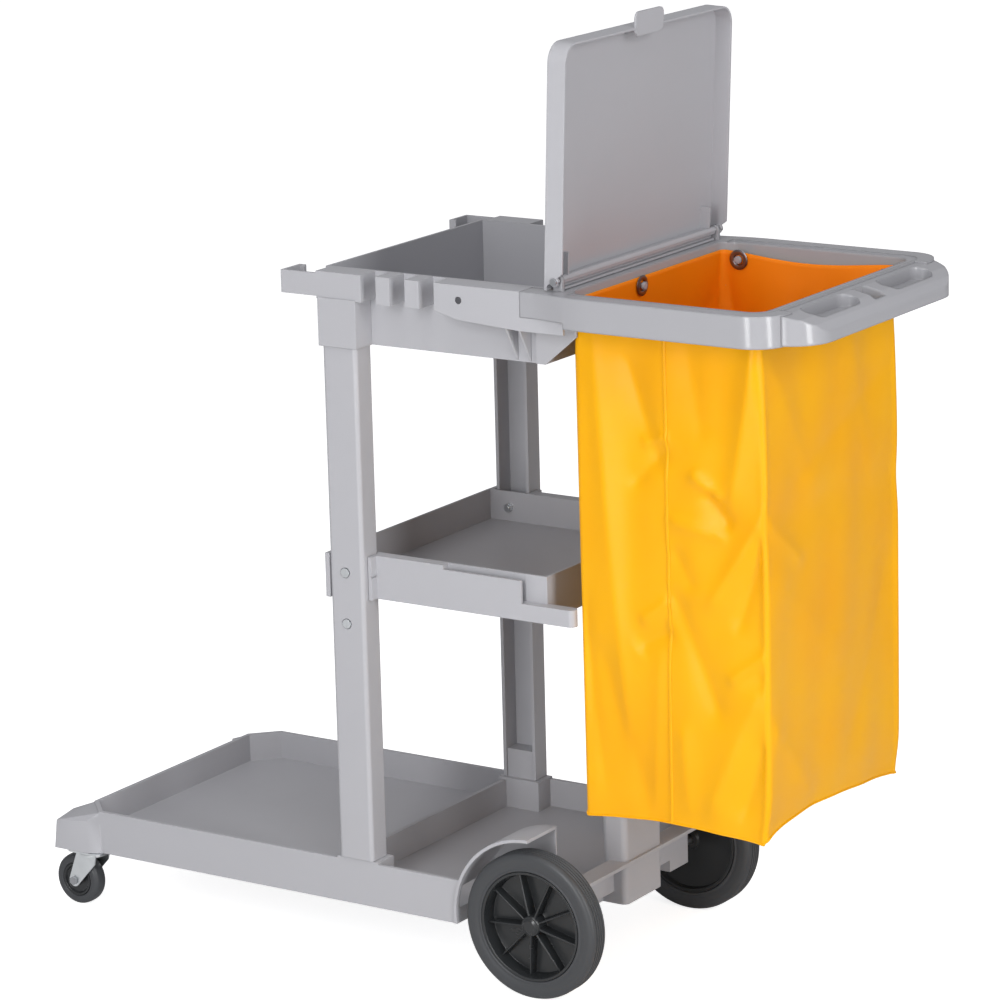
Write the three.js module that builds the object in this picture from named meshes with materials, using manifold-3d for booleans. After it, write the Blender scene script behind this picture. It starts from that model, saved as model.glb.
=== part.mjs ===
// Housekeeping cart: a moulded base deck on two fixed rear wheels and two front casters, two posts,
// a middle shelf, an upper tray, and a ring with a push handle and a hinged lid that holds a vinyl bag.
// Millimetres, +Z up. +X points to the handle, -X to the casters. The origin is on the floor, under
// the middle of the cart.

import * as THREE from "three";
import { mergeVertices } from "three/addons/utils/BufferGeometryUtils.js";
import { ConvexGeometry } from "three/addons/geometries/ConvexGeometry.js";
import Module from "manifold-3d";

// ---------------------------------------------------------------- driving dimensions
const GAP = 0.3; // clearance left between two pieces that rest on or in each other
const WALL = 4; // usual wall of the plastic mouldings

const DECK = {
  front: -575, // outer face of the front rim
  back: 213, // outer face of the rear wall
  lip: 237, // edge of the flange over the rear wall
  halfWidth: 221,
  coreHalfWidth: 149, // half width between the two wheel wells
  chamfer: 36,
  bottom: 86,
  floor: 107,
  rim: 147.6,
  wall: 6,
  partition: -117, // front face of the wall between the front tray and the rear bay
};
const POD = { left: -612, side: 233, top: 127 };
const PILLAR = { x0: 195, x1: 233, halfWidth: 48, top: 236 };

const POST = { x0: -118.6, x1: -63.7, inner: 189.2, outer: 222.7, wall: 5.2, bottom: 151, top: 905 };

const WHEEL = { x: 187.5, radius: 101.6, rimRadius: 76, y0: 188, y1: 223.5 };
const ARCH = { outer: 121, inner: 116.5, shell: 4.5, bead: 11 };
const AXLE_RADIUS = 6.3;

const CASTER = { x: -563, y: 207, trail: 24, radius: 37.5, width: 24, coreRadius: 24, stem: 5 };

const SHELF = { x0: -129, x1: 205, halfWidth: 186, sideRail: 200, bottom: 518, floor: 535, top: 578 };
const TRAY = {
  x0: -132,
  x1: 214,
  inner: 184.6,
  lining: 2, // thickness of the inner layer of its long walls
  bottom: 864.5,
  top: 965,
  flange: 223.6,
  skirt: 928,
};
const TEETH = [
  [-28, -6],
  [18, 40],
]; // from start to end along X
const BOLT_Z = [484, 555];
const BOLT_X = -93;
const ARM_SCREW = { x: 102, z: 945 };

const RING = { start: 196, end: 572, endFace: 555, halfWidth: 235.6, bottom: 923.5, top: 965 };
const RING_HOLE = { x0: 256, x1: 540, halfWidth: 200 };
const RING_CORNER = 45;
const HANDLE = { end: 613, halfWidth: 206, corner: 55 };

const LID = { length: 307, halfWidth: 209.5, above: 14.5, below: 12.2, tail: 12.5, skin: 3, corner: 26 };
const LID_AXIS = { x: 240.5, z: 978.5 };
const LID_LEAN = 87.55; // degrees the lid stands away from closed
const LID_PIN_RADIUS = 2.8;

const BAG = { x0: 257.7, x1: 525.6, halfWidth: 187.6, bottom: 258, top: 955, wall: 2.4 };
const PEG_Z = 943;

// The pieces are drawn from a zero near the middle; this moves the origin to the exact middle.
const CENTRE_SHIFT = 5.75;

// ---------------------------------------------------------------- materials
function plastic(color, roughness) {
  return new THREE.MeshStandardMaterial({ color, roughness, metalness: 0 });
}
function metal(color, roughness) {
  return new THREE.MeshStandardMaterial({ color, roughness, metalness: 1 });
}
const GREY_PLASTIC = plastic(0xa4a4aa, 0.45);
const BLACK_PLASTIC = plastic(0x26282a, 0.4);
const TYRE_RUBBER = plastic(0x3a3c3f, 0.6);
const YELLOW_VINYL = plastic(0xf5a80c, 0.5);
const ZINC = metal(0xc9ccd0, 0.3);
const STEEL = metal(0x8d9095, 0.35);

// ---------------------------------------------------------------- solids
const wasm = await Module();
wasm.setup();

// A three.js geometry as a solid that can be joined and cut.
function solid(geometry) {
  const bare = geometry.index ? geometry.toNonIndexed() : geometry.clone();
  bare.deleteAttribute("normal");
  bare.deleteAttribute("uv");
  const merged = mergeVertices(bare, 1e-4);
  return new wasm.Manifold(
    new wasm.Mesh({
      numProp: 3,
      vertProperties: merged.attributes.position.array,
      triVerts: new Uint32Array(merged.index.array),
    }),
  );
}

function join(...solids) {
  return solids.reduce((whole, next) => whole.add(next));
}

function cut(body, ...tools) {
  return tools.reduce((left, tool) => left.subtract(tool), body);
}

// A box between two corners; y0 and y1 may come in either order.
function box(x0, x1, y0, y1, z0, z1) {
  const size = [x1 - x0, Math.abs(y1 - y0), z1 - z0];
  const geometry = new THREE.BoxGeometry(...size);
  return solid(geometry.translate((x0 + x1) / 2, (y0 + y1) / 2, (z0 + z1) / 2));
}

// A plan outline in X and Y, raised from z0 to z1.
function plan(shape, z0, z1, curveSegments = 8) {
  const geometry = new THREE.ExtrudeGeometry(shape, { depth: z1 - z0, bevelEnabled: false, curveSegments });
  return solid(geometry.translate(0, 0, z0));
}

// A side outline in X and Z, carried from y0 to y1.
function side(shape, y0, y1, curveSegments = 8) {
  const depth = Math.abs(y1 - y0);
  const geometry = new THREE.ExtrudeGeometry(shape, { depth, bevelEnabled: false, curveSegments });
  return solid(geometry.rotateX(Math.PI / 2).translate(0, Math.max(y0, y1), 0));
}

function polygon(points) {
  return new THREE.Shape(points.map(([a, b]) => new THREE.Vector2(a, b)));
}

// A rectangle with round corners, between two corners of its box.
function roundedRectangle(x0, x1, y0, y1, radius) {
  const shape = new THREE.Shape();
  shape.moveTo(x0 + radius, y0);
  shape.lineTo(x1 - radius, y0);
  shape.absarc(x1 - radius, y0 + radius, radius, -Math.PI / 2, 0);
  shape.lineTo(x1, y1 - radius);
  shape.absarc(x1 - radius, y1 - radius, radius, 0, Math.PI / 2);
  shape.lineTo(x0 + radius, y1);
  shape.absarc(x0 + radius, y1 - radius, radius, Math.PI / 2, Math.PI);
  shape.lineTo(x0, y0 + radius);
  shape.absarc(x0 + radius, y0 + radius, radius, Math.PI, 1.5 * Math.PI);
  return shape;
}

// A round bar along X, Y or Z from one value of that coordinate to another.
function bar(axis, [a, b], radius, from, to, segments = 16) {
  const geometry = new THREE.CylinderGeometry(radius, radius, to - from, segments);
  const middle = (from + to) / 2;
  if (axis === "x") geometry.rotateZ(Math.PI / 2).translate(middle, a, b);
  if (axis === "y") geometry.translate(a, middle, b);
  if (axis === "z") geometry.rotateX(Math.PI / 2).translate(a, b, middle);
  return solid(geometry);
}

// A turned piece about an axis along Y: profile points are [radius, y].
function turned(profile, x, z, segments = 40) {
  const points = profile.map(([radius, y]) => new THREE.Vector2(radius, y));
  return solid(new THREE.LatheGeometry(points, segments).translate(x, 0, z));
}

function mirrored(body, isFar) {
  return isFar ? body.mirror([0, 1, 0]) : body;
}

const cart = new THREE.Group();
cart.position.x = CENTRE_SHIFT;

// Adds a solid to the cart as a named mesh.
function add(name, body, material) {
  const { vertProperties, triVerts } = body.getMesh();
  const geometry = new THREE.BufferGeometry();
  geometry.setAttribute("position", new THREE.BufferAttribute(vertProperties, 3));
  geometry.setIndex(new THREE.BufferAttribute(triVerts, 1));
  geometry.computeVertexNormals();
  const mesh = new THREE.Mesh(geometry, material);
  mesh.name = name;
  cart.add(mesh);
}

// ---------------------------------------------------------------- base deck
function deckOutline(inset, back) {
  const front = DECK.front + inset;
  const edge = DECK.halfWidth - inset;
  const corner = DECK.chamfer - inset * 0.4;
  return polygon([
    [front, -edge + corner],
    [front + corner, -edge],
    [back, -edge],
    [back, edge],
    [front + corner, edge],
    [front, edge - corner],
  ]);
}

// A caster pod on the near front corner: its top falls away from the deck's rim.
function pod() {
  const { bottom, rim } = DECK;
  const corners = [
    [POD.left, -POD.side, bottom],
    [-555, -POD.side, bottom],
    [-537, -224, bottom],
    [-530, -200, bottom],
    [-560, -170, bottom],
    [-578, -175, bottom],
    [POD.left, -190, bottom],
    [POD.left + 3, -POD.side + 3, POD.top],
    [-556, -POD.side + 3, POD.top + 6],
    [POD.left + 3, -191, POD.top + 6],
    [-576, -182, rim - 2],
    [-538, -220, rim - 2],
    [-545, -195, rim - 2],
  ];
  return solid(new ConvexGeometry(corners.map((c) => new THREE.Vector3(...c))));
}

// The arch over the near wheel: a quarter shell with a thick bead along its outer edge.
function fender() {
  const y0 = -DECK.halfWidth;
  const y1 = -DECK.coreHalfWidth;
  const bead = bar("y", [WHEEL.x, WHEEL.radius], ARCH.outer, y0 - 1.5, y0 + ARCH.bead, 72);
  const shell = bar("y", [WHEEL.x, WHEEL.radius], ARCH.inner + ARCH.shell, y0, y1, 72);
  const front = box(WHEEL.x - ARCH.outer - 5, WHEEL.x, y0 - 5, y1, DECK.bottom, WHEEL.radius + 140);
  return join(bead, shell).intersect(front);
}

function wheelWell() {
  const outer = -DECK.halfWidth - 5;
  return bar("y", [WHEEL.x, WHEEL.radius], ARCH.inner, outer, -DECK.coreHalfWidth - 3, 72);
}

function pillar() {
  const { x0, x1, halfWidth, top } = PILLAR;
  return plan(roundedRectangle(x0, x1, -halfWidth, halfWidth, 9), DECK.bottom, top, 3);
}

// The blocks that the posts stand on, each with a spigot that fills the foot of its post.
function postFoot() {
  const block = box(-124, -56, -DECK.halfWidth, -183, DECK.bottom, POST.bottom - GAP);
  const inset = POST.wall + 0.5;
  const spigot = box(
    POST.x0 + inset,
    POST.x1 - inset,
    -POST.outer + inset,
    -POST.inner - 2,
    POST.bottom - 5,
    POST.bottom + 42,
  );
  return join(block, spigot);
}

function baseDeck() {
  const { bottom, floor, rim, wall, coreHalfWidth: core, back, lip, partition } = DECK;
  const bay = WHEEL.x - 96; // the full width ends here, where the wheel wells begin
  let body = join(
    plan(deckOutline(0, bay), bottom, rim),
    box(bay - 10, back, -core, core, bottom, rim),
    box(back - 5, lip, -core, core, rim - 5, rim),
  );
  for (const far of [false, true]) body = join(body, mirrored(pod(), far), mirrored(fender(), far));

  const innerWidth = DECK.halfWidth - wall;
  const frontPocket = plan(deckOutline(wall, partition), floor, rim + 1);
  const rearPocket = box(partition + wall, bay - 14, -innerWidth, innerWidth, floor, rim + 1);
  const bayPocket = box(bay - 20, back - wall, -core + wall, core - wall, floor, rim + 1);
  body = cut(body, frontPocket, rearPocket, bayPocket);
  for (const far of [false, true]) body = join(body, mirrored(postFoot(), far));
  for (const far of [false, true]) body = cut(body, mirrored(wheelWell(), far));
  body = join(body, pillar());

  // The underside is hollow, with ribs across it.
  const under = floor - WALL;
  const ribs = [-575 + wall, -460, -345, -230, -112, 0, 62];
  for (let i = 0; i + 1 < ribs.length; i += 1) {
    const x0 = ribs[i] + (i === 0 ? 62 : 2);
    body = cut(body, box(x0, ribs[i + 1] - 2, -innerWidth + 26, innerWidth - 26, bottom - 1, under));
  }
  body = cut(body, box(72, PILLAR.x0 - 8, -core + wall, -20, bottom - 1, under));
  body = cut(body, box(72, PILLAR.x0 - 8, 20, core - wall, bottom - 1, under));
  const { x0, x1, halfWidth, top } = PILLAR;
  body = cut(body, box(x0 + WALL, x1 - WALL, -halfWidth + WALL, halfWidth - WALL, bottom - 1, top - WALL));
  // The rear wall steps back under its flange, on both sides of the pillar.
  for (const far of [false, true]) {
    body = cut(body, mirrored(box(195, back + 1, -100, -halfWidth, bottom - 1, under), far));
  }
  // The bore for the axle, which passes through both walls of the wells.
  return cut(body, bar("y", [WHEEL.x, WHEEL.radius], AXLE_RADIUS + GAP, -core - 10, core + 10));
}

// ---------------------------------------------------------------- posts
function post() {
  const { x0, x1, inner, outer, wall, bottom, top } = POST;
  const section = new THREE.Shape();
  const round = 6;
  section.moveTo(x0, -inner);
  section.lineTo(x0, -outer + round);
  section.absarc(x0 + round, -outer + round, round, Math.PI, 1.5 * Math.PI);
  section.lineTo(x1 - round, -outer);
  section.absarc(x1 - round, -outer + round, round, 1.5 * Math.PI, 2 * Math.PI);
  section.lineTo(x1, -inner);
  section.lineTo(x1 - wall, -inner);
  section.lineTo(x1 - wall, -outer + wall);
  section.lineTo(x0 + wall, -outer + wall);
  section.lineTo(x0 + wall, -inner);
  let body = plan(section, bottom, top, 4);
  for (const z of BOLT_Z) {
    body = cut(
      body,
      bar("y", [BOLT_X, z], 3.3, -outer - 5, -outer + 12),
      bar("y", [BOLT_X, z], 7.5, -outer - 5, -outer + 2.2),
    );
  }
  return body;
}

// ---------------------------------------------------------------- middle shelf
// The two cheeks and the pad that grip the near post, and the rail with its slot on the near side.
function shelfSide() {
  const { halfWidth, sideRail, bottom, top } = SHELF;
  const left = box(POST.x0 - 7.5, POST.x0 - 0.6, -POST.outer + 1, -halfWidth + 2, bottom, top + 1);
  const right = box(POST.x1 + 0.6, POST.x1 + 6.5, -212, -halfWidth + 2, bottom, top);
  const notch = box(POST.x1 + 4.5, POST.x1 + 10, -220, -190, 549, 552);
  const pad = box(BOLT_X - 15, BOLT_X + 15, -POST.outer + POST.wall + 0.5, -halfWidth + 2, 540, 570);
  const rail = box(POST.x1 + 4, 173, -sideRail, -halfWidth + 2, bottom, top);
  const slot = box(50, 180, -sideRail + WALL, -halfWidth - GAP, bottom + 23, top + 5);
  const railTop = box(50, 180, -sideRail - 1, -halfWidth - GAP, top - 6, top + 5);
  const ledge = plan(roundedRectangle(120, 253, -sideRail, -halfWidth + 3, 8), bottom, bottom + 23, 4);
  const belt = cut(join(rail, ledge), slot, railTop);
  return join(cut(left, notch), cut(right, notch), pad, belt);
}

function middleShelf() {
  const { x0, x1, halfWidth, bottom, floor, top } = SHELF;
  let body = box(x0, x1, -halfWidth, halfWidth, bottom, top);
  body = cut(body, box(x0 + WALL, x1 - WALL, -halfWidth + WALL, halfWidth - WALL, floor, top + 1));
  body = cut(body, box(x0 + WALL, x1 - WALL, -halfWidth + WALL, halfWidth - WALL, bottom - 1, floor - WALL));
  for (const far of [false, true]) {
    body = join(body, mirrored(shelfSide(), far));
    body = cut(body, mirrored(bar("y", [BOLT_X, BOLT_Z[1]], 3.3, -230, -halfWidth + 10), far));
  }
  for (const x of [-20, 90]) {
    body = join(body, box(x, x + 3, -halfWidth + 2, halfWidth - 2, bottom + 5, floor - 2));
  }
  return body;
}

// ---------------------------------------------------------------- upper tray
// The outer layer of the tray's near wall.
const LAYER_FACE = -TRAY.inner - WALL;
const OUT_OF_LAYER = LAYER_FACE - GAP;

function trayLayer() {
  return box(TRAY.x0, TRAY.x1, LAYER_FACE, -TRAY.inner - TRAY.lining - GAP, TRAY.bottom, TRAY.top);
}

// The ledge at the tray's corner, with its hook and the socket that holds the post.
function trayCorner() {
  const { x0, flange, skirt, top, bottom } = TRAY;
  const ledge = box(x0 + 8, -52, -flange, OUT_OF_LAYER, skirt, top);
  const hook = join(
    box(-181, x0 + 12, -flange, -flange + WALL, 931, 962),
    box(-181, -177, -flange, -180, 931, 962),
    box(-181, -170, -184, -180, 931, 962),
  );
  const socket = cut(
    box(POST.x0 - 3, POST.x1 + 3, -225.4, OUT_OF_LAYER, bottom, skirt + 2),
    box(POST.x0 - 0.5, POST.x1 + 0.5, -POST.outer - 0.5, LAYER_FACE + 1, bottom - 1, POST.top + 1),
  );
  return join(ledge, hook, socket);
}

// The two teeth between the tool notches.
function trayTooth([start, end]) {
  return box(start, end, -TRAY.flange, OUT_OF_LAYER, TRAY.skirt, TRAY.top);
}

// The part of the rim that takes the ring's arm, with its bracket, gussets and wing.
function trayArm() {
  const { flange, skirt, top } = TRAY;
  const block = side(
    polygon([
      [64, top],
      [64, skirt],
      [100, 919],
      [RING.start, 913],
      [RING.start, top],
    ]),
    -flange,
    OUT_OF_LAYER,
  );
  const tongueSpace = box(72, RING.start + 1, -flange + 4.5, LAYER_FACE + 1, 931, 960.5);
  const bracket = cut(
    box(RING.start - 1, 262, -flange, OUT_OF_LAYER, 913, 931),
    box(RING.start, 270, -flange + WALL, LAYER_FACE - WALL, 910, 927),
  );
  const gussets = [168, 188].map((x) =>
    side(
      polygon([
        [x, 866],
        [x + 3, 866],
        [x + 3, 920],
        [x, 920],
      ]),
      -flange + 2,
      OUT_OF_LAYER,
    ).intersect(gussetWedge()),
  );
  const arm = join(cut(block, tongueSpace), bracket, ...gussets, trayWing());
  const screwHole = bar("y", [ARM_SCREW.x, ARM_SCREW.z], 2.6, -flange - 3, LAYER_FACE - 2);
  const counterbore = bar("y", [ARM_SCREW.x, ARM_SCREW.z], 5, -flange - 3, -flange + 2.4);
  return cut(arm, screwHole, counterbore);
}

// A wedge that leaves each gusset a slanted outer edge.
function gussetWedge() {
  const { inner, flange } = TRAY;
  const wedge = polygon([
    [-inner, 866],
    [-inner - WALL, 866],
    [-flange + 3, 921],
    [-inner, 921],
  ]);
  const geometry = new THREE.ExtrudeGeometry(wedge, { depth: 60, bevelEnabled: false });
  // The outline's first coordinate is Y and its second is Z, so it is turned to run along X.
  return solid(geometry.rotateX(Math.PI / 2).rotateZ(Math.PI / 2).translate(150, 0, 0));
}

// The wing that carries the ring, beyond the tray's end wall.
function trayWing() {
  return side(
    polygon([
      [200, TRAY.bottom],
      [214, TRAY.bottom],
      [262, 905],
      [262, 930],
      [200, 930],
    ]),
    OUT_OF_LAYER - 3.3,
    OUT_OF_LAYER,
  );
}

// The open box of the tray. Its long walls are the inner layer of a double wall.
function upperTray() {
  const { x0, x1, inner, lining, bottom, top } = TRAY;
  const outer = inner + lining;
  return cut(
    box(x0, x1, -outer, outer, bottom, top),
    box(x0 + WALL, x1 - WALL, -inner, inner, bottom + WALL, top + 1),
  );
}

// ---------------------------------------------------------------- bag ring, handle
// The ring's outer edge: the arms start at the tray, widen, and end in two round corners.
function ringOutline(grow = 0) {
  const edge = RING.halfWidth + grow;
  const end = RING.end + grow;
  const r = RING_CORNER + grow;
  const start = RING.start + GAP - grow;
  const shape = new THREE.Shape();
  shape.moveTo(start, -TRAY.flange - grow);
  shape.bezierCurveTo(245, -TRAY.flange - grow, 255, -edge, 310, -edge);
  shape.lineTo(end - r, -edge);
  shape.absarc(end - r, -edge + r, r, -Math.PI / 2, 0);
  shape.lineTo(end, edge - r);
  shape.absarc(end - r, edge - r, r, 0, Math.PI / 2);
  shape.lineTo(310, edge);
  shape.bezierCurveTo(255, edge, 245, TRAY.flange + grow, start, TRAY.flange + grow);
  return shape;
}

// A round peg with a small knob at its tip.
function peg({ x, y, dx, dy, length }) {
  const along = dx ? "x" : "y";
  const at = dx ? [y, PEG_Z] : [x, PEG_Z];
  const from = dx ? x : y;
  const to = from + (dx + dy) * length;
  const knob = to - (dx + dy) * 3;
  return join(
    bar(along, at, 4, Math.min(from, to), Math.max(from, to), 12),
    bar(along, at, 5.6, Math.min(knob, to), Math.max(knob, to), 12),
  );
}

// Each bag peg: its foot on the ring's inner face, the way it points and its length.
const PEG_SIDE = RING_HOLE.halfWidth + 1;
const PEGS = [
  { name: "left", x: RING_HOLE.x0 - 1, y: -25, dx: 1, dy: 0, length: 10.5 },
  { name: "right_near", x: RING_HOLE.x1 + 1, y: -150, dx: -1, dy: 0, length: 20 },
  { name: "right_far", x: RING_HOLE.x1 + 1, y: 150, dx: -1, dy: 0, length: 20 },
  { name: "near_left", x: 285, y: -PEG_SIDE, dx: 0, dy: 1, length: 20 },
  { name: "far_left", x: 285, y: PEG_SIDE, dx: 0, dy: -1, length: 20 },
];

function lidEar() {
  const ear = join(
    box(LID_AXIS.x - 7, LID_AXIS.x + 7, -200, -194, 960, LID_AXIS.z),
    bar("y", [LID_AXIS.x, LID_AXIS.z], 7, -200, -194, 16),
  );
  return cut(ear, bar("y", [LID_AXIS.x, LID_AXIS.z], LID_PIN_RADIUS + GAP, -210, -190, 16));
}

function bagRing() {
  const { bottom, top } = RING;
  const { x0, x1, halfWidth } = RING_HOLE;
  const opening = roundedRectangle(x0, x1, -halfWidth, halfWidth, 22);
  let body = cut(
    plan(ringOutline(), bottom, top, 6),
    plan(opening, bottom - 1, top + 1, 5),
    box(150, 234, -194, 194, bottom - 1, top + 1),
    box(RING.endFace, RING.end + 5, -180, 180, bottom - 1, top + 1),
    box(150, 267, -240, 240, bottom - 1, 931.3),
  );
  // The end rail by the hinge is shallower than the arms.
  body = cut(body, box(230, x0 + 6, -halfWidth + 6, halfWidth - 6, bottom - 1, 938));
  // The arms are open underneath.
  for (const far of [false, true]) {
    body = cut(body, mirrored(box(275, 530, -230.6, -204, bottom - 1, top - 5), far));
    const arm = box(80, 200, -TRAY.flange + 5, -TRAY.inner - WALL - 1.5, 931.3, 960);
    body = join(body, mirrored(arm, far), mirrored(lidEar(), far));
    body = cut(body, mirrored(bar("y", [ARM_SCREW.x, ARM_SCREW.z], 2.2, -225, -200, 12), far));
  }
  for (const spot of PEGS) body = join(body, peg(spot));
  // A low step runs round the top, where the lid's skirt comes down.
  const step = roundedRectangle(246, 551, -213, 213, 26);
  return cut(body, plan(step, top - 1.6, top + 1, 5).subtract(box(200, 262, -300, 300, 900, 1000)));
}

// A dished thumb rest in the handle's top.
function handleDish(y0, y1) {
  const dish = roundedRectangle(566, 598, y0, y1, 15.9);
  return plan(dish, 946, 970, 6);
}

function pushHandle() {
  const { end, halfWidth, corner } = HANDLE;
  let body = plan(roundedRectangle(430, end, -halfWidth, halfWidth, corner), 925, 963, 7);
  body = cut(
    body,
    plan(ringOutline(GAP), 900, 1000, 6).subtract(
      box(RING.endFace + GAP, RING.end + 5, -179.7, 179.7, 890, 1010),
    ),
    box(400, RING.endFace + GAP, -230, 230, 900, 1000),
  );
  // The top falls away towards the grip's outer edge.
  const slope = polygon([
    [570, 963.01],
    [592, 958],
    [606, 950],
    [end + 1, 938],
    [end + 1, 970],
    [570, 970],
  ]);
  body = cut(body, side(slope, -240, 240));
  body = cut(body, handleDish(-158, -40), handleDish(40, 158), box(566, 600, -14, 14, 900, 1000));
  // The grip is hollow underneath.
  return cut(body, box(562, 604, -150, -40, 900, 938), box(562, 604, 40, 150, 900, 938));
}

// ---------------------------------------------------------------- lid
// The lid is drawn closed, about its hinge axis, and then turned up to where it stands.
function lid() {
  const { length, halfWidth, above, below, tail, skin, corner } = LID;
  const outline = (inset) => {
    const shape = new THREE.Shape();
    const edge = halfWidth - inset;
    const end = length - inset;
    const r = corner - inset;
    shape.moveTo(-tail + inset, -edge);
    shape.lineTo(end - r, -edge);
    shape.absarc(end - r, -edge + r, r, -Math.PI / 2, 0);
    shape.lineTo(end, edge - r);
    shape.absarc(end - r, edge - r, r, 0, Math.PI / 2);
    shape.lineTo(-tail + inset, edge);
    return shape;
  };
  let body = cut(plan(outline(0), -below, above, 6), plan(outline(skin), -below - 1, above - skin, 6));
  const chamfer = polygon([
    [-tail - 1, -below - 1],
    [12, -below - 1],
    [-tail + 6, above - 4],
    [-tail - 1, above - 4],
  ]);
  body = cut(body, side(chamfer, -halfWidth - 1, -190), side(chamfer, 190, halfWidth + 1));
  const barrel = join(
    bar("y", [0, 0], 5.5, -192.5, 192.5, 16),
    box(-tail + 1, 3, -192.5, 192.5, 2, above - 1),
  );
  const tab = plan(roundedRectangle(length - 12, length + 20, -39, 31, 9), -below, -below + 3, 4);
  const ribs = [-180, 177].map((y) => box(2, 34, y, y + 3, -3, above - 1));
  body = join(body, barrel, tab, ...ribs);
  for (const far of [false, true]) {
    const lug = bar("y", [0, 0], 6.5, -halfWidth, -halfWidth + 5, 16);
    body = join(body, mirrored(lug, far));
  }
  const under = box(-tail - 2, 0, -halfWidth - 2, halfWidth + 2, -below - 2, -4.2);
  body = cut(body, under);
  for (const far of [false, true]) {
    body = cut(body, mirrored(bar("y", [0, 0], LID_PIN_RADIUS + GAP, -halfWidth - 2, -175, 16), far));
  }
  return body.rotate([0, -LID_LEAN, 0]).translate([LID_AXIS.x, 0, LID_AXIS.z]);
}

function lidPin() {
  const at = [LID_AXIS.x, LID_AXIS.z];
  return join(
    bar("y", at, LID_PIN_RADIUS, -LID.halfWidth - 1, -176, 16),
    bar("y", at, 5, -LID.halfWidth - 2.6, -LID.halfWidth - GAP, 16),
  );
}

// ---------------------------------------------------------------- bag and eyelets
function wasteBag() {
  const { x0, x1, halfWidth, bottom, top, wall } = BAG;
  const outer = roundedRectangle(x0, x1, -halfWidth, halfWidth, 14);
  const inner = roundedRectangle(x0 + wall, x1 - wall, -halfWidth + wall, halfWidth - wall, 11.6);
  let body = cut(plan(outer, bottom, top, 3), plan(inner, bottom + wall, top + 1, 3));
  for (const { x, y, dx } of PEGS) {
    const at = dx ? [y, PEG_Z] : [x, PEG_Z];
    const middle = dx ? x : y;
    body = cut(body, bar(dx ? "x" : "y", at, 9, middle - 20, middle + 20, 12));
  }
  return body;
}

// A pressed eyelet: a short tube through the vinyl with a washer on the inside.
function eyelet({ x, y, dx, dy }) {
  const skinAt = dx ? (dx > 0 ? BAG.x0 : BAG.x1) : dy > 0 ? -BAG.halfWidth : BAG.halfWidth;
  const inwards = dx + dy;
  const washer = skinAt + inwards * (BAG.wall + GAP);
  const span = (a, b) => [Math.min(a, b), Math.max(a, b)];
  const axis = dx ? "x" : "y";
  const at = dx ? [y, PEG_Z] : [x, PEG_Z];
  const body = join(
    bar(axis, at, 8.7, ...span(skinAt - inwards * 0.6, washer + inwards * 1.2), 12),
    bar(axis, at, 14, ...span(washer, washer + inwards * 1.2), 16),
  );
  return cut(body, bar(axis, at, 6.6, skinAt - 10, skinAt + 10, 12));
}

// ---------------------------------------------------------------- rear wheels
// The tyre of the near wheel: a thick ring with rounded shoulders.
function tyre() {
  const { radius, rimRadius, y0, y1, x } = WHEEL;
  const round = 5;
  const profile = [
    [rimRadius + GAP, -y1],
    [radius - round - 2, -y1],
    [radius - 2, -y1 + 2.5],
    [radius, -y1 + round + 2],
    [radius, -y0 - round - 2],
    [radius - 2, -y0 - 2.5],
    [radius - round - 2, -y0],
    [rimRadius + GAP, -y0],
    [rimRadius + GAP, -y1],
  ];
  return turned(profile, x, WHEEL.radius, 40);
}

// The wheel's rim, dished web, nine spokes and hub tube.
function wheelHub() {
  const { rimRadius, y0, y1, x } = WHEEL;
  const web = -y1 + 22;
  const bore = AXLE_RADIUS + GAP;
  const profile = [
    [bore, -y1 + 3],
    [13, -y1 + 3],
    [15, web],
    [rimRadius - 6, web],
    [rimRadius - 4, -y1 + 1],
    [rimRadius, -y1 + 1],
    [rimRadius, -y0 - 1],
    [rimRadius - 5, -y0 - 1],
    [rimRadius - 6, web + 4],
    [15, web + 4],
    [14, -y0 + 6],
    [bore, -y0 + 6],
    [bore, -y1 + 3],
  ];
  let body = turned(profile, x, WHEEL.radius, 32);
  for (let i = 0; i < 9; i += 1) {
    const geometry = new THREE.BoxGeometry(rimRadius - 18, 14, 4.4);
    geometry.translate((rimRadius - 18) / 2 + 13.2, web - 6, 0);
    geometry.rotateY((i * 2 * Math.PI) / 9 + 0.25).translate(x, 0, WHEEL.radius);
    body = join(body, solid(geometry));
  }
  return body;
}

// The pressed cap that keeps the wheel on its axle.
function wheelCap() {
  const { x, y1 } = WHEEL;
  const profile = [
    [0, -y1 + 0.6],
    [8, -y1 + 0.6],
    [11.5, -y1 + 2.6],
    [11.5, -y1 + 2.9],
    [0, -y1 + 2.9],
  ];
  return turned(profile, x, WHEEL.radius, 16);
}

function rearAxle() {
  const end = WHEEL.y1 - 3.4;
  return bar("y", [WHEEL.x, WHEEL.radius], AXLE_RADIUS, -end, end, 24);
}

// ---------------------------------------------------------------- casters
function casterPlate() {
  const { x, y, stem } = CASTER;
  const top = DECK.bottom - GAP;
  return join(
    plan(roundedRectangle(x - 29, x + 29, -y - 25, -y + 25, 6), top - 2.6, top, 3),
    bar("z", [x, -y], 21, top - 5.2, top - 2, 20),
    bar("z", [x, -y], stem, top - 10, top - 2, 12),
    bar("z", [x, -y], 8, 75.4, top - 9.2, 12),
  );
}

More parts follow.
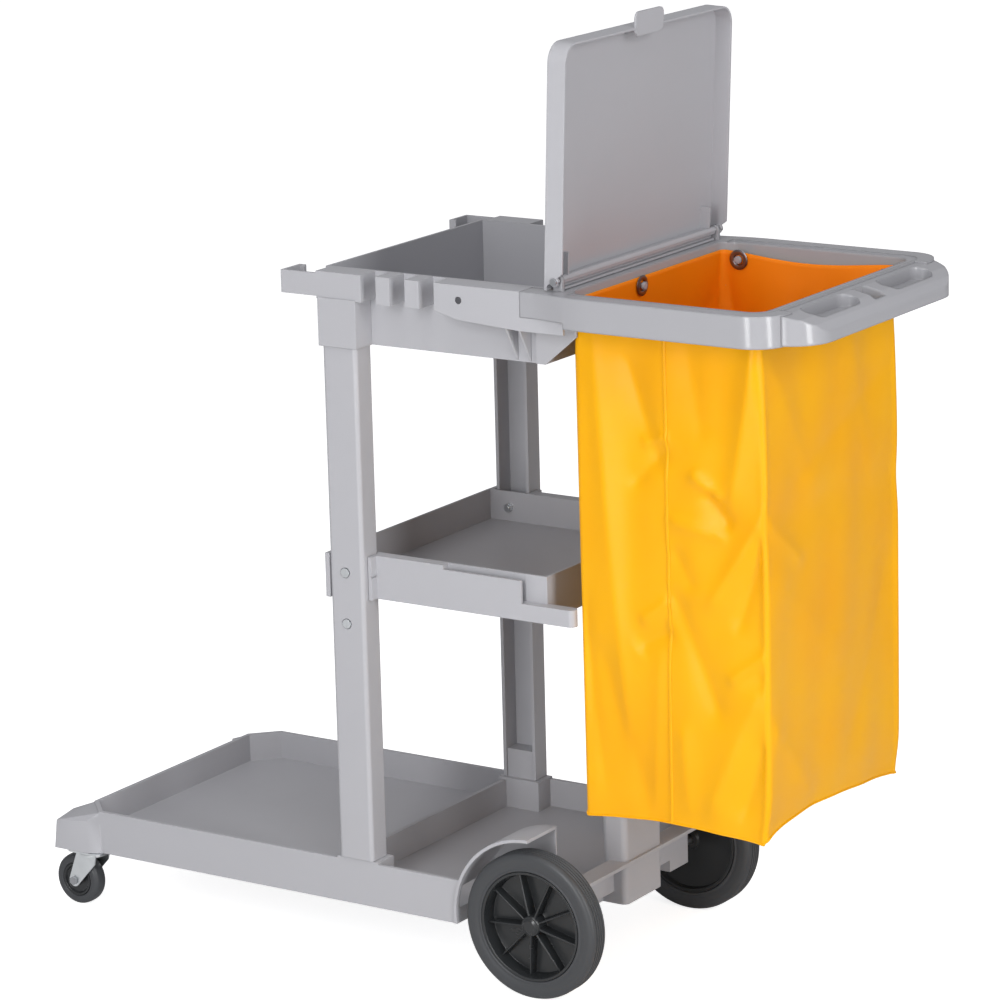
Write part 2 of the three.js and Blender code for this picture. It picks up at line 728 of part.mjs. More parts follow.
function casterFork() {
  const { x, y, trail, width, stem } = CASTER;
  const crownTop = DECK.bottom - GAP - 5.2 - GAP;
  const crownBottom = 77;
  const gap = width / 2 + 3;
  const leg = new THREE.Shape();
  leg.moveTo(x + 17, crownTop - 0.4);
  leg.lineTo(x - 18, crownTop - 0.4);
  leg.lineTo(x - trail - 8.6, 40);
  leg.absarc(x - trail, CASTER.radius, 9, 2.87, 5.7, false);
  leg.lineTo(x + 14, 66);
  const crown = join(
    bar("z", [x, -y], 21, crownBottom, crownTop, 20),
    box(x - 18, x + 15, -y - gap - 2, -y + gap + 2, crownBottom, crownTop - 0.4),
  );
  const body = join(crown, side(leg, -y - gap - 2, -y - gap, 5), side(leg, -y + gap, -y + gap + 2, 5));
  return cut(
    body,
    bar("z", [x, -y], stem + GAP, 60, 90, 16),
    bar("y", [x - trail, CASTER.radius], 4 + GAP, -y - 30, -y + 30, 16),
  );
}

function casterCore() {
  const { x, y, trail, coreRadius, radius, width } = CASTER;
  const half = width / 2;
  const profile = [
    [4 + GAP, -half - 2],
    [8, -half - 2],
    [8, -half + 3],
    [coreRadius - 5, -half + 4],
    [coreRadius - 3, -half + 0.5],
    [coreRadius, -half + 0.5],
    [coreRadius, half - 0.5],
    [coreRadius - 3, half - 0.5],
    [coreRadius - 5, half - 4],
    [8, half - 3],
    [8, half + 2],
    [4 + GAP, half + 2],
    [4 + GAP, -half - 2],
  ].map(([r, along]) => [r, along - y]);
  return turned(profile, x - trail, radius, 20);
}

function casterTyre() {
  const { x, y, trail, coreRadius, radius, width } = CASTER;
  const half = width / 2;
  const profile = [
    [coreRadius + GAP, -half],
    [radius - 5, -half],
    [radius - 1.2, -half + 3],
    [radius, -half + 7],
    [radius, half - 7],
    [radius - 1.2, half - 3],
    [radius - 5, half],
    [coreRadius + GAP, half],
    [coreRadius + GAP, -half],
  ].map(([r, along]) => [r, along - y]);
  return turned(profile, x - trail, radius, 28);
}

function casterAxle() {
  const { x, y, trail, radius, width } = CASTER;
  const out = width / 2 + 5 + GAP;
  const at = [x - trail, radius];
  return join(
    bar("y", at, 4, -y - out - 1, -y + out + 1, 16),
    bar("y", at, 6.5, -y - out - 3.5, -y - out, 6),
    bar("y", at, 6.5, -y + out, -y + out + 4, 6),
  );
}

// ---------------------------------------------------------------- fasteners
// A pan-head bolt through the near post at a height.
function postBolt(z) {
  const face = -POST.outer + 2.2;
  const inner = z > 500 ? -SHELF.halfWidth + WALL : -POST.outer + POST.wall;
  return join(
    bar("y", [BOLT_X, z], 6.6, face - 3.2, face - GAP, 12),
    bar("y", [BOLT_X, z], 3, face - 1, inner + 7, 10),
  );
}

function postNut(z) {
  const inner = z > 500 ? -SHELF.halfWidth + WALL : -POST.outer + POST.wall;
  const body = bar("y", [BOLT_X, z], 6.4, inner + GAP, inner + 5.3, 6);
  return cut(body, bar("y", [BOLT_X, z], 3 + GAP, inner - 5, inner + 10, 10));
}

function armScrew() {
  const { x, z } = ARM_SCREW;
  const face = -TRAY.flange + 2.4;
  return join(
    bar("y", [x, z], 4.4, face - 2, face - GAP, 16),
    bar("y", [x, z], 1.9, face - 1, face + 20, 12),
  );
}

// ---------------------------------------------------------------- assembly
add("base_deck", baseDeck(), GREY_PLASTIC);
add("middle_shelf", middleShelf(), GREY_PLASTIC);
add("upper_tray", upperTray(), GREY_PLASTIC);
add("bag_ring", bagRing(), GREY_PLASTIC);
add("push_handle", pushHandle(), GREY_PLASTIC);
add("lid", lid(), GREY_PLASTIC);
add("waste_bag", wasteBag(), YELLOW_VINYL);
add("rear_axle", rearAxle(), STEEL);
for (const spot of PEGS) add(`eyelet_${spot.name}`, eyelet(spot), ZINC);

for (const far of [false, true]) {
  const label = far ? "far" : "near";
  const put = (name, body, material) => add(`${name}_${label}`, mirrored(body, far), material);
  put("post", post(), GREY_PLASTIC);
  put("tray_layer", trayLayer(), GREY_PLASTIC);
  put("tray_corner", trayCorner(), GREY_PLASTIC);
  put("tray_tooth_left", trayTooth(TEETH[0]), GREY_PLASTIC);
  put("tray_tooth_right", trayTooth(TEETH[1]), GREY_PLASTIC);
  put("tray_arm", trayArm(), GREY_PLASTIC);
  put("lid_pin", lidPin(), STEEL);
  put("rear_tyre", tyre(), TYRE_RUBBER);
  put("rear_hub", wheelHub(), BLACK_PLASTIC);
  put("wheel_cap", wheelCap(), BLACK_PLASTIC);
  put("caster_plate", casterPlate(), ZINC);
  put("caster_fork", casterFork(), ZINC);
  put("caster_core", casterCore(), BLACK_PLASTIC);
  put("caster_tyre", casterTyre(), TYRE_RUBBER);
  put("caster_axle", casterAxle(), STEEL);
  put("bolt_lower", postBolt(BOLT_Z[0]), ZINC);
  put("nut_lower", postNut(BOLT_Z[0]), ZINC);
  put("bolt_shelf", postBolt(BOLT_Z[1]), ZINC);
  put("nut_shelf", postNut(BOLT_Z[1]), ZINC);
  put("arm_screw", armScrew(), STEEL);
}

export default cart;
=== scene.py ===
"""Finishes a housekeeping cart: moulded grey plastic, black wheels, zinced casters and a yellow vinyl bag.

Metres, +Z up, the origin on the floor under the middle of the cart. +X points to the push handle,
-X to the casters, and -Y is the near side. The lid stands open at rest.
"""

import math

import bmesh
import bpy
import numpy as np
from mathutils import Matrix, Vector


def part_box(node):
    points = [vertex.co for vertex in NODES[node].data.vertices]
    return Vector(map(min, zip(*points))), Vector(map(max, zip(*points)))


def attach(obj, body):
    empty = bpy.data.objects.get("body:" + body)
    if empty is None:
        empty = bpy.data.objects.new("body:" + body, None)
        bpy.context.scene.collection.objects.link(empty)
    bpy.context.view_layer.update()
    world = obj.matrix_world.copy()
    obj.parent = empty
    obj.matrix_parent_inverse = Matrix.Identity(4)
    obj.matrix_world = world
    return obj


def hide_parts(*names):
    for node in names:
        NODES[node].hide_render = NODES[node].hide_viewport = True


bl_info = {
    "name": "Housekeeping Cart",
    "version": (1, 0, 0),
    "blender": (4, 5, 0),
    "location": "View3D > Sidebar > Cart",
    "description": "Fine surfaces and finishes for a housekeeping cart with a vinyl waste bag",
    "category": "Object",
}

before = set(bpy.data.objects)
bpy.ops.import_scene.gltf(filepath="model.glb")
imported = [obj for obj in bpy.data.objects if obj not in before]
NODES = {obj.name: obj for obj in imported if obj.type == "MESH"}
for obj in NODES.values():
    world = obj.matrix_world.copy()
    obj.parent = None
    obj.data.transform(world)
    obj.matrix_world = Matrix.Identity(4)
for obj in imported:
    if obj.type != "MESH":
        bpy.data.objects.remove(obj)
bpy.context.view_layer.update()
MM = 0.001
SIDES = ("near", "far")


def middle_and_half(node):
    """The middle of a CAD node's box and half its size, as arrays in metres."""
    low, high = (np.array(corner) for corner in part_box(node))
    return (low + high) / 2, (high - low) / 2


# ---------------------------------------------------------------- surfaces
def grid(points, loop_rows=False, loop_columns=False, size=(1.0, 1.0)):
    """Quads between neighbours on a grid of points; a looped direction joins its end to its start.
    The UV map runs evenly over size, along the columns and then along the rows."""
    rows, columns = points.shape[:2]
    row_count = rows if loop_rows else rows - 1
    column_count = columns if loop_columns else columns - 1
    i, j = np.meshgrid(np.arange(row_count), np.arange(column_count), indexing="ij")
    corner_i = np.stack([i, i, i + 1, i + 1], -1)
    corner_j = np.stack([j, j + 1, j + 1, j], -1)
    quads = (corner_i % rows) * columns + corner_j % columns
    uv = np.stack([corner_j * size[0] / column_count, corner_i * size[1] / row_count], -1)
    return points.reshape(-1, 3), quads.reshape(-1, 4), uv.reshape(-1, 2)


def rounded(outline, radius, steps=4):
    """A closed outline with each corner replaced by a quadratic curve between two points on its edges,
    at the given distance from the corner or a little under half the shorter edge."""
    here = np.asarray(outline, float)
    to_last = np.roll(here, 1, axis=0) - here
    to_next = np.roll(here, -1, axis=0) - here
    last_length = np.linalg.norm(to_last, axis=1, keepdims=True)
    next_length = np.linalg.norm(to_next, axis=1, keepdims=True)
    cut = np.minimum(radius, 0.45 * np.minimum(last_length, next_length))
    start = here + to_last / last_length * cut
    end = here + to_next / next_length * cut
    t = np.linspace(0, 1, steps + 1)[None, :, None]
    curve = (1 - t) ** 2 * start[:, None] + 2 * t * (1 - t) * here[:, None] + t**2 * end[:, None]
    return curve.reshape(-1, 2)


def revolve(outline, centre, axis="y", steps=96):
    """Turns a closed outline of (radius, place along the axis) about an axis through centre.
    The turned point is centre + radius * (cos, sin) across the axis, with the place along it."""
    radius, along = np.asarray(outline, float).T
    turn = np.linspace(0, 2 * math.pi, steps, endpoint=False)
    first = np.outer(np.cos(turn), radius)
    second = np.outer(np.sin(turn), radius)
    place = np.broadcast_to(along, first.shape)
    order = {"x": (place, first, second), "y": (first, place, second), "z": (first, second, place)}
    points = np.stack(order[axis], -1) + np.asarray(centre)
    return grid(points, loop_rows=True, loop_columns=True, size=(0.1, 2 * math.pi * radius.max()))


def loft(sections):
    """A closed skin over a row of closed sections; each end is closed by a fan to its middle."""
    ends = [sections[:1].mean(1, keepdims=True), sections[-1:].mean(1, keepdims=True)]
    caps = [np.broadcast_to(end, sections[:1].shape) for end in ends]
    return grid(np.concatenate([caps[0], sections, caps[1]]), loop_columns=True)


def build(name, surfaces, materials, sharp_degrees=40.0, closed=True):
    """One mesh object from several surfaces: doubles merged, faces turned outwards, smooth but for
    edges sharper than sharp_degrees."""
    starts = np.cumsum([0] + [len(points) for points, _, _ in surfaces[:-1]])
    points = np.concatenate([points for points, _, _ in surfaces])
    quads = np.concatenate([quads + start for (_, quads, _), start in zip(surfaces, starts)])
    uv = np.concatenate([uv for _, _, uv in surfaces])
    mesh = bpy.data.meshes.new(name)
    mesh.from_pydata(points.tolist(), [], quads.tolist())
    mesh.uv_layers.new(name="Surface").data.foreach_set("uv", uv.ravel())
    work = bmesh.new()
    work.from_mesh(mesh)
    bmesh.ops.remove_doubles(work, verts=work.verts, dist=2e-6)
    if closed:
        bmesh.ops.recalc_face_normals(work, faces=work.faces)
    work.to_mesh(mesh)
    work.free()
    mesh.polygons.foreach_set("use_smooth", [True] * len(mesh.polygons))
    mesh.set_sharp_from_angle(angle=math.radians(sharp_degrees))
    for material in materials:
        mesh.materials.append(material)
    piece = bpy.data.objects.new(name, mesh)
    bpy.context.scene.collection.objects.link(piece)
    return piece


def place(piece, body, slot, *nodes):
    """Lets a piece move with its body and stand for CAD nodes, which it hides. The slot is not used."""
    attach(piece, body)
    if nodes:
        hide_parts(*nodes)


# ---------------------------------------------------------------- shared effects
def new_group(name, inputs, outputs):
    """An empty node group with float, colour or vector sockets, and its input and output nodes."""
    group = bpy.data.node_groups.new(name, "ShaderNodeTree")
    kinds = {"value": "NodeSocketFloat", "colour": "NodeSocketColor", "vector": "NodeSocketVector"}
    for label, kind in inputs:
        group.interface.new_socket(label, in_out="INPUT", socket_type=kinds[kind])
    for label, kind in outputs:
        group.interface.new_socket(label, in_out="OUTPUT", socket_type=kinds[kind])
    return group, group.nodes.new("NodeGroupInput"), group.nodes.new("NodeGroupOutput")


def noise_node(tree, coordinates, detail, roughness):
    """A noise texture that reads the given coordinates."""
    noise = tree.nodes.new("ShaderNodeTexNoise")
    noise.inputs["Detail"].default_value = detail
    noise.inputs["Roughness"].default_value = roughness
    tree.links.new(coordinates, noise.inputs["Vector"])
    return noise


def tone_group():
    """Slow drift between two near tones, as in a large moulding: a mask of broad noise."""
    group, given, result = new_group(
        "Tone Drift",
        [("Base", "colour"), ("Drift", "colour"), ("Scale", "value")],
        [("Colour", "colour")],
    )
    where = group.nodes.new("ShaderNodeTexCoord")
    noise = noise_node(group, where.outputs["Object"], 3.0, 0.55)
    mix = group.nodes.new("ShaderNodeMix")
    mix.data_type = "RGBA"
    group.links.new(given.outputs["Scale"], noise.inputs["Scale"])
    group.links.new(noise.outputs["Fac"], mix.inputs["Factor"])
    group.links.new(given.outputs["Base"], mix.inputs["A"])
    group.links.new(given.outputs["Drift"], mix.inputs["B"])
    group.links.new(mix.outputs["Result"], result.inputs["Colour"])
    return group


def grain_group():
    """The fine spark-eroded grain of a moulding, over edges that shade as round: a height of small
    noise, and a normal bumped by it."""
    group, given, result = new_group(
        "Mould Grain",
        [("Scale", "value"), ("Strength", "value"), ("Edge", "value")],
        [("Normal", "vector")],
    )
    where = group.nodes.new("ShaderNodeTexCoord")
    noise = noise_node(group, where.outputs["Object"], 4.0, 0.6)
    edges = group.nodes.new("ShaderNodeBevel")
    edges.samples = 6
    group.links.new(given.outputs["Edge"], edges.inputs["Radius"])
    bump = group.nodes.new("ShaderNodeBump")
    bump.inputs["Distance"].default_value = 0.3 * MM
    group.links.new(edges.outputs["Normal"], bump.inputs["Normal"])
    group.links.new(given.outputs["Scale"], noise.inputs["Scale"])
    group.links.new(given.outputs["Strength"], bump.inputs["Strength"])
    group.links.new(noise.outputs["Fac"], bump.inputs["Height"])
    group.links.new(bump.outputs["Normal"], result.inputs["Normal"])
    return group


def scuff_group():
    """Rubbed patches: stretched noise cut to sparse streaks, which change the roughness."""
    group, given, result = new_group(
        "Scuffs",
        [("Clean", "value"), ("Rubbed", "value"), ("Scale", "value")],
        [("Roughness", "value")],
    )
    where = group.nodes.new("ShaderNodeTexCoord")
    stretch = group.nodes.new("ShaderNodeMapping")
    stretch.inputs["Scale"].default_value = (1.0, 1.0, 3.0)
    group.links.new(where.outputs["Object"], stretch.inputs["Vector"])
    noise = noise_node(group, stretch.outputs["Vector"], 6.0, 0.7)
    ramp = group.nodes.new("ShaderNodeMapRange")
    ramp.inputs["From Min"].default_value = 0.5
    ramp.inputs["From Max"].default_value = 0.75
    mix = group.nodes.new("ShaderNodeMix")
    group.links.new(given.outputs["Scale"], noise.inputs["Scale"])
    group.links.new(noise.outputs["Fac"], ramp.inputs["Value"])
    group.links.new(ramp.outputs["Result"], mix.inputs["Factor"])
    group.links.new(given.outputs["Clean"], mix.inputs["A"])
    group.links.new(given.outputs["Rubbed"], mix.inputs["B"])
    group.links.new(mix.outputs["Result"], result.inputs["Roughness"])
    return group


def weave_group():
    """A plain weave under a coating: a height that is the product of two sines along the UV map."""
    group, given, result = new_group(
        "Coated Weave", [("Pitch", "value"), ("Strength", "value")], [("Normal", "vector")]
    )
    where = group.nodes.new("ShaderNodeTexCoord")
    split = group.nodes.new("ShaderNodeSeparateXYZ")
    group.links.new(where.outputs["UV"], split.inputs["Vector"])
    waves = []
    for label in ("X", "Y"):
        turns = group.nodes.new("ShaderNodeMath")
        turns.operation = "DIVIDE"
        group.links.new(split.outputs[label], turns.inputs[0])
        group.links.new(given.outputs["Pitch"], turns.inputs[1])
        wave = group.nodes.new("ShaderNodeMath")
        wave.operation = "SINE"
        group.links.new(turns.outputs[0], wave.inputs[0])
        waves.append(wave)
    product = group.nodes.new("ShaderNodeMath")
    product.operation = "MULTIPLY"
    group.links.new(waves[0].outputs[0], product.inputs[0])
    group.links.new(waves[1].outputs[0], product.inputs[1])
    bump = group.nodes.new("ShaderNodeBump")
    bump.inputs["Distance"].default_value = 0.1 * MM
    group.links.new(given.outputs["Strength"], bump.inputs["Strength"])
    group.links.new(product.outputs[0], bump.inputs["Height"])
    group.links.new(bump.outputs["Normal"], result.inputs["Normal"])
    return group


GROUP_MAKERS = {
    "Tone Drift": tone_group,
    "Mould Grain": grain_group,
    "Scuffs": scuff_group,
    "Coated Weave": weave_group,
}


def effect(material, name, **values):
    """Places a shared effect in a material with its own values."""
    node = material.node_tree.nodes.new("ShaderNodeGroup")
    node.node_tree = bpy.data.node_groups.get(name) or GROUP_MAKERS[name]()
    for label, value in values.items():
        node.inputs[label].default_value = value
    return node


# ---------------------------------------------------------------- finishes
def finish_of(name, **values):
    """A new material with plain values on its Principled shader."""
    material = bpy.data.materials.new(name)
    material.use_nodes = True
    shader = material.node_tree.nodes["Principled BSDF"]
    for label, value in values.items():
        shader.inputs[label.replace("_", " ")].default_value = value
    return material, shader


def shade(colour, factor):
    """A colour times a factor, with full alpha."""
    return tuple(min(1.0, channel * factor) for channel in colour[:3]) + (1.0,)


def join(material, shader, tone, texture, rubbed):
    """Links the shared effects to a Principled shader."""
    links = material.node_tree.links
    links.new(tone.outputs["Colour"], shader.inputs["Base Color"])
    links.new(texture.outputs["Normal"], shader.inputs["Normal"])
    links.new(rubbed.outputs["Roughness"], shader.inputs["Roughness"])
    return material


def moulded(name, colour, roughness, grain_scale, grain, drift, edge):
    """Moulded plastic or rubber: slow tone drift, fine grain, soft edges and rubbed patches."""
    material, shader = finish_of(name, Metallic=0.0)
    tone = effect(material, "Tone Drift", Base=shade(colour, 1.0), Drift=shade(colour, drift), Scale=6.0)
    texture = effect(material, "Mould Grain", Scale=grain_scale, Strength=grain, Edge=edge)
    rubbed = effect(material, "Scuffs", Clean=roughness, Rubbed=roughness + 0.06, Scale=9.0)
    return join(material, shader, tone, texture, rubbed)


def plated(name, colour, roughness):
    """Plated steel: metallic, with a cloudy roughness and a faint grain."""
    material, shader = finish_of(name, Metallic=1.0)
    tone = effect(material, "Tone Drift", Base=shade(colour, 1.0), Drift=shade(colour, 0.82), Scale=60.0)
    texture = effect(material, "Mould Grain", Scale=900.0, Strength=0.12, Edge=0.4 * MM)
    rubbed = effect(material, "Scuffs", Clean=roughness, Rubbed=roughness + 0.18, Scale=45.0)
    return join(material, shader, tone, texture, rubbed)


def vinyl(name, colour, drift, roughness):
    """Coated cloth: slow tone drift, the weave showing through, and cloudy roughness."""
    material, shader = finish_of(name, Metallic=0.0, Specular_IOR_Level=0.24)
    tone = effect(material, "Tone Drift", Base=shade(colour, 1.0), Drift=shade(drift, 1.0), Scale=5.0)
    weave = effect(material, "Coated Weave", Pitch=0.22 * MM, Strength=0.35)
    rubbed = effect(material, "Scuffs", Clean=roughness, Rubbed=roughness + 0.1, Scale=12.0)
    return join(material, shader, tone, weave, rubbed)


def satin_grey():
    """The deck, posts, shelf, tray and lid."""
    colour = bpy.context.scene.cart_moulding.colour
    return moulded("satin_grey", colour, 0.38, 700.0, 0.10, drift=0.95, edge=1.2 * MM)


def glossy_shaded_grey():
    """The polished, rounder mouldings of the ring and handle: the same grey plastic, made glossier and
    painted darker as painted shade.
    """
    colour = bpy.context.scene.cart_moulding.colour
    # Painted shade: the grey is scaled by 0.84 to stand in for the dimmer light that falls on the ring and
    # handle.
    return moulded("glossy_shaded_grey", shade(colour, 0.84), 0.15, 500.0, 0.03, drift=0.97, edge=4.5 * MM)


def satin_black():
    """The wheels and their caps."""
    colour = bpy.context.scene.cart_wheels.hub_colour
    return moulded("satin_black", colour, 0.24, 500.0, 0.08, drift=0.8, edge=0.6 * MM)


def tread_rubber():
    """The tyres."""
    colour = bpy.context.scene.cart_wheels.tyre_colour
    return moulded("tread_rubber", colour, 0.42, 600.0, 0.14, drift=0.88, edge=0.6 * MM)


def bright_zinc():
    """Forks, caster plates, bolts and nuts."""
    return plated("bright_zinc", (0.86, 0.89, 0.91), 0.30)


def dark_eyelet():
    """Blackened eyelets and arm screws."""
    return plated("dark_eyelet", (0.25, 0.25, 0.27), 0.30)


def plain_steel():
    """Axles and hinge pins."""
    return plated("plain_steel", (0.46, 0.47, 0.49), 0.34)


def bag_outside():
    """The coated face of the bag, with a deeper tone in patches."""
    settings = bpy.context.scene.cart_bag
    return vinyl("vinyl_outside", settings.colour, settings.deep_colour, 0.32)


def bag_inside():
    """The duller lining of the bag."""
    settings = bpy.context.scene.cart_bag
    return vinyl("vinyl_inside", settings.lining_colour, shade(settings.lining_colour, 0.92), 0.5)


FINISH_MAKERS = {
    "satin_grey": satin_grey,
    "glossy_shaded_grey": glossy_shaded_grey,
    "dark_eyelet": dark_eyelet,
    "satin_black": satin_black,
    "tread_rubber": tread_rubber,
    "bright_zinc": bright_zinc,
    "plain_steel": plain_steel,
    "vinyl_outside": bag_outside,
    "vinyl_inside": bag_inside,
}


def finish(name):
    """A finish by its name, made on first use. No name is that of a slot, whose plain material comes
    with the frame."""
    return bpy.data.materials.get(name) or FINISH_MAKERS[name]()


# ---------------------------------------------------------------- CAD nodes
CAD_WELD = 0.01 * MM
CAD_SHARP = math.radians(28)


def dress(node, finish_name):
    """Gives a CAD node its finish, and shades its curves smooth and its edges sharp with modifiers."""
    piece = NODES[node]
    piece.data.materials.clear()
    piece.data.materials.append(finish(finish_name))
    piece.data.polygons.foreach_set("use_smooth", [True] * len(piece.data.polygons))
    weld = piece.modifiers.new("Join faces", "WELD")
    weld.merge_threshold = CAD_WELD
    split = piece.modifiers.new("Part at edges", "EDGE_SPLIT")
    split.split_angle = CAD_SHARP
    piece.modifiers.new("Flat shading", "WEIGHTED_NORMAL")


SATIN = ["base_deck", "middle_shelf", "upper_tray", "lid"]
SATIN += [
    f"{part}_{side}"
    for part in ("post", "tray_layer", "tray_corner", "tray_tooth_left", "tray_tooth_right", "tray_arm")
    for side in SIDES
]
GLOSSY = ["bag_ring", "push_handle"]


# ---------------------------------------------------------------- rear wheels
# Millimetres. Places across a wheel run inwards from its outer face.
TYRE_SEAT = 76.3
RIM_RADIUS = 76.0
WEB_PLACE = 22.0
TREAD_MARGIN = 10.0
SPOKE = {"inner": 13.5, "outer": 70.8, "top_in": 5.5, "top_out": 9.5, "foot": WEB_PLACE + 0.5}
FIRST_SPOKE = -0.25


def tread_outline(radius, rim, width, grooves):
    """The tyre's closed outline as (radius, place from its outer face): a bead by the rim, a full
    side, a round shoulder, and flat-bottomed grooves spaced evenly over the tread."""
    side = [(rim, 2.0), (rim + 2, 0.6), (rim + 4.5, 1.5), (rim + 9, 0.3), (radius - 9, 0.0)]
    side += [(radius - 4.5, 0.9), (radius - 1.5, 3.2), (radius, 7.0)]
    tread = []
    for centre in np.linspace(TREAD_MARGIN, width - TREAD_MARGIN, grooves):
        tread += [(radius, centre - 1.5), (radius - 1.8, centre - 0.8)]
        tread += [(radius - 1.8, centre + 0.8), (radius, centre + 1.5)]
    back = [(r, width - w) for r, w in reversed(side)]
    turns = [1.6] * len(side) + [0.5] * len(tread) + [1.6] * len(back)
    return rounded(side + tread + back, np.array(turns)[:, None], 3)


def wheel_outline(rim, width):
    """The wheel's closed outline: rim flange, deep recess, web, and hub tube about the axle."""
    web = WEB_PLACE
    front = [(6.6, 3.0), (13.0, 3.0), (14.5, 6.0), (15.0, web), (rim - 6.5, web)]
    front += [(rim - 4.5, 9.0), (rim - 3.8, 1.4), (rim, 1.0)]
    back = [(rim, width - 1), (rim - 5, width - 1), (rim - 6, web + 4), (15, web + 4), (14, width - 6)]
    back += [(6.6, width - 6)]
    return rounded(front + back, 0.9, 3)


def spoke(turn, inner, outer, top_in, top_out, foot):
    """A rib that stands on the web: its section is a tapered, round-topped blade, lofted from the
    hub to the rim, in the wheel's own plane coordinates (radius along, across, from outer face)."""
    along = np.linspace(0, 1, 9)
    radius = inner + (outer - inner) * along
    top = top_in + (top_out - top_in) * along**1.5
    angle = np.linspace(0, math.pi, 7)
    across = np.concatenate([[2.3], 1.4 * np.cos(angle), [-2.3]])
    rise = np.concatenate([[0.0], np.ones(len(angle)), [0.0]])
    crown = np.concatenate([[0.0], 1.2 * np.sin(angle) - 1.2, [0.0]])
    depth = foot + (top[:, None] - foot) * rise - crown
    flat_x = radius[:, None] * np.ones_like(across)
    flat_z = np.ones_like(along)[:, None] * across
    x = flat_x * math.cos(turn) - flat_z * math.sin(turn)
    z = flat_x * math.sin(turn) + flat_z * math.cos(turn)
    return np.stack([x, depth, z], -1)


class CartWheelSettings(bpy.types.PropertyGroup):
    """Sizes and colours of the wheels."""

    spokes: bpy.props.IntProperty(name="Spokes", description="Ribs in each rear wheel", default=9, min=3)
    grooves: bpy.props.IntProperty(name="Grooves", description="Grooves in the tread", default=4, min=1)
    hub_colour: bpy.props.FloatVectorProperty(
        name="Hub colour", description="Moulded wheel", subtype="COLOR", default=(0.024, 0.026, 0.028)
    )
    tyre_colour: bpy.props.FloatVectorProperty(
        name="Tyre colour", description="Rubber tread", subtype="COLOR", default=(0.050, 0.053, 0.058)
    )


class CART_OT_rear_wheels(bpy.types.Operator):
    """Make the two rear tyres and spoked wheels"""

    bl_idname = "cart.rear_wheels"
    bl_label = "Rear Wheels"

    def execute(self, context):
        settings = context.scene.cart_wheels
        for side, out in zip(SIDES, (-1, 1)):
            middle, half = middle_and_half(f"rear_tyre_{side}")
            face = middle + (0, out * half[1], 0)
            inwards = (MM, -out * MM, MM)
            radius, width = half[0] / MM, 2 * half[1] / MM

            def placed(surface):
                points, quads, uv = surface
                return points * inwards + face, quads, uv

            outer = tread_outline(radius, TYRE_SEAT, width, settings.grooves)
            skin = placed(revolve(outer, (0, 0, 0), steps=144))
            tyre = build(f"tyre_{side}", [skin], [finish("tread_rubber")])
            place(tyre, f"rear_wheel_{side}", "tyre_rubber", f"rear_tyre_{side}")
            rim = wheel_outline(RIM_RADIUS, width)
            surfaces = [placed(revolve(rim, (0, 0, 0), steps=128))]
            for number in range(settings.spokes):
                turn = number * 2 * math.pi / settings.spokes + FIRST_SPOKE
                surfaces.append(placed(loft(spoke(turn, **SPOKE))))
            wheel = build(f"wheel_{side}", surfaces, [finish("satin_black")], 35.0)
            place(wheel, f"rear_wheel_{side}", "black_plastic", f"rear_hub_{side}")
        return {"FINISHED"}


# ---------------------------------------------------------------- casters
# Half the outline of a caster's wheel: (radius, place from its middle), in millimetres.
CASTER_CORE = [(4.3, -14), (8, -14), (8.5, -8), (19, -8), (21, -11.5), (24, -11.5)]


class CART_OT_casters(bpy.types.Operator):
    """Make the treads and wheels of the two casters and finish their forks"""

    bl_idname = "cart.casters"
    bl_label = "Casters"

    def execute(self, context):
        for side in SIDES:
            middle, half = middle_and_half(f"caster_tyre_{side}")
            radius, edge = half[0] / MM, -half[1] / MM
            tread = [(24.3, edge), (30, edge), (radius - 4, edge + 0.6), (radius - 0.8, edge + 4)]
            tread += [(radius, 0)] + [(r, -w) for r, w in reversed(tread)]
            core = CASTER_CORE + [(r, -w) for r, w in reversed(CASTER_CORE)]
            for label, outline, soft, made_of, slot, node in (
                ("caster_tread", tread, 3.0, "tread_rubber", "tyre_rubber", "caster_tyre"),
                ("caster_wheel", core, 0.8, "satin_black", "black_plastic", "caster_core"),
            ):
                surface = revolve(rounded(outline, soft) * MM, middle, steps=96)
                piece = build(f"{label}_{side}", [surface], [finish(made_of)])
                place(piece, f"caster_wheel_{side}", slot, f"{node}_{side}")
            dress(f"caster_fork_{side}", "bright_zinc")
            dress(f"caster_plate_{side}", "bright_zinc")
            dress(f"caster_axle_{side}", "plain_steel")
        return {"FINISHED"}


# ---------------------------------------------------------------- waste bag
class CartBagSettings(bpy.types.PropertyGroup):
    """Sizes and colours of the waste bag."""

    colour: bpy.props.FloatVectorProperty(
        name="Colour",
        description="Outside of the bag",
        subtype="COLOR",
        default=(0.86, 0.445, 0.001),
    )
    deep_colour: bpy.props.FloatVectorProperty(
        name="Deep colour",
        description="Deeper tone of the outside",
        subtype="COLOR",
        default=(0.84, 0.34, 0.0),
    )
    lining_colour: bpy.props.FloatVectorProperty(
        name="Lining colour",
        description="Inside of the bag",
        subtype="COLOR",
        default=(0.90, 0.225, 0.0),
    )
    thickness: bpy.props.FloatProperty(
        name="Thickness", description="Of the coated cloth", default=0.9 * MM, unit="LENGTH"
    )
    fold: bpy.props.FloatProperty(
        name="Fold depth",
        description="What a fold of height one stands out",
        default=1.35 * MM,
        unit="LENGTH",
    )


BAG_ROWS = 118
BAG_COLUMNS = 350
BAG_CORNER = 8 * MM
SEAM_ROW = 60


def crowded(lengths, total):
    """Places along a loop of sides, as many on each as its share of total, closer at the corners:
    each side's even steps t are moved to 0.55 t + 0.225 (1 - cos pi t)."""
    edges = np.concatenate([[0.0], np.cumsum(lengths)])
    counts = np.round(np.array(lengths) / edges[-1] * total).astype(int)
    steps = [np.arange(count) / count for count in counts]
    moved = [0.55 * t + 0.225 * (1 - np.cos(math.pi * t)) for t in steps]
    return np.concatenate([edge + length * t for edge, length, t in zip(edges, lengths, moved)])


